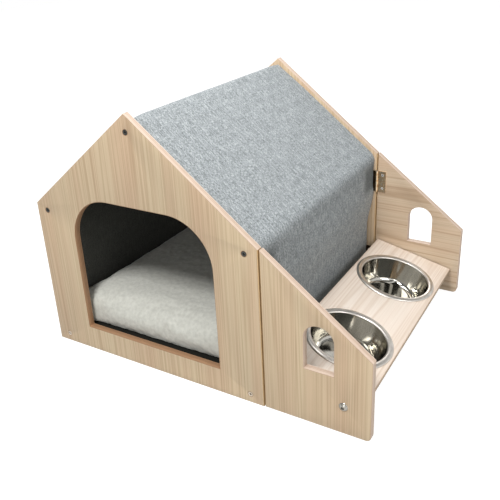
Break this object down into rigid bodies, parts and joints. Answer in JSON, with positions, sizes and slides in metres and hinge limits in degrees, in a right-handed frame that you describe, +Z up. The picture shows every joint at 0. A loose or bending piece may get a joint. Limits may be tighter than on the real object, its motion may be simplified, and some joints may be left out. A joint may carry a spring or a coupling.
{
  "type": "cat house",
  "caption": "Gabled cat house with plywood ends, a stretched felt roof and walls, a plush cushion, and a folding side station whose sloping shelf holds lift-out steel bowls.",
  "frame": {"origin": "bottom centre of the whole object, on the ground, in the middle of its width and depth", "axes": "+X along the front from the house towards the feeding station, +Y from the doorway to the rear, +Z up"},
  "size_m": [0.6176, 0.5006, 0.452],
  "materials": {
    "birch_plywood": "pale straight-grained veneer on plywood, sealed matt",
    "pine": "planed softwood, bare",
    "grey_felt": "needled heather felt, light grey",
    "dark_felt": "needled felt, charcoal",
    "white_plush": "short-pile plush, off-white",
    "stainless_steel": "polished stainless steel with a satin rim",
    "zinc_steel": "zinc-plated",
    "bronzed_steel": "antique bronze plating"
  },
  "bodies": {
    "house": {"front_gable": "birch_plywood", "rear_gable": "birch_plywood", "ridge_batten": "pine", "left_eave_batten": "pine", "right_eave_batten": "pine", "left_floor_batten": "pine", "right_floor_batten": "pine", "felt_cover": "grey_felt", "felt_lining": "dark_felt", "floor_board": "pine", "floor_felt": "dark_felt", "cushion": "white_plush", "front_gable_screws": "zinc_steel", "rear_gable_screws": "zinc_steel", "front_upper_gable_leaf": "bronzed_steel", "front_lower_gable_leaf": "bronzed_steel", "rear_upper_gable_leaf": "bronzed_steel", "rear_lower_gable_leaf": "bronzed_steel", "front_upper_pin": "bronzed_steel", "front_lower_pin": "bronzed_steel", "rear_upper_pin": "bronzed_steel", "rear_lower_pin": "bronzed_steel", "front_gable_leaf_screws": "zinc_steel", "rear_gable_leaf_screws": "zinc_steel"},
    "wing_front": {"front_wing": "birch_plywood", "front_upper_wing_leaf": "bronzed_steel", "front_lower_wing_leaf": "bronzed_steel", "front_wing_leaf_screws": "zinc_steel", "front_shelf_bolt": "zinc_steel", "front_bolt_insert": "zinc_steel", "front_cleat": "pine", "front_cleat_screws": "zinc_steel"},
    "wing_rear": {"rear_wing": "birch_plywood", "rear_upper_wing_leaf": "bronzed_steel", "rear_lower_wing_leaf": "bronzed_steel", "rear_wing_leaf_screws": "zinc_steel", "rear_shelf_bolt": "zinc_steel", "rear_bolt_insert": "zinc_steel", "rear_cleat": "pine", "rear_cleat_screws": "zinc_steel"},
    "shelf_tray": {"shelf": "birch_plywood"},
    "bowl_front": {"front_bowl": "stainless_steel"},
    "bowl_rear": {"rear_bowl": "stainless_steel"}
  },
  "joints": [
    {"name": "front_wing_swing", "type": "hinge", "parent": "house", "child": "wing_front", "pos_m": [0.1325, -0.2323, 0.14], "axis": [0, 0, 1], "range_deg": [-6.5, 0]},
    {"name": "rear_wing_swing", "type": "hinge", "parent": "house", "child": "wing_rear", "pos_m": [0.1325, 0.2323, 0.14], "axis": [0, 0, 1], "range_deg": [0, 6.5]},
    {"name": "shelf_lift", "type": "slide", "parent": "house", "child": "shelf_tray", "axis": [0, 0, 1], "range_m": [0, 0.25]},
    {"name": "front_bowl_lift", "type": "slide", "parent": "shelf_tray", "child": "bowl_front", "axis": [0.2334, 0, 0.9724], "range_m": [0, 0.07]},
    {"name": "rear_bowl_lift", "type": "slide", "parent": "shelf_tray", "child": "bowl_rear", "axis": [0.2334, 0, 0.9724], "range_m": [0, 0.07]}
  ]
}
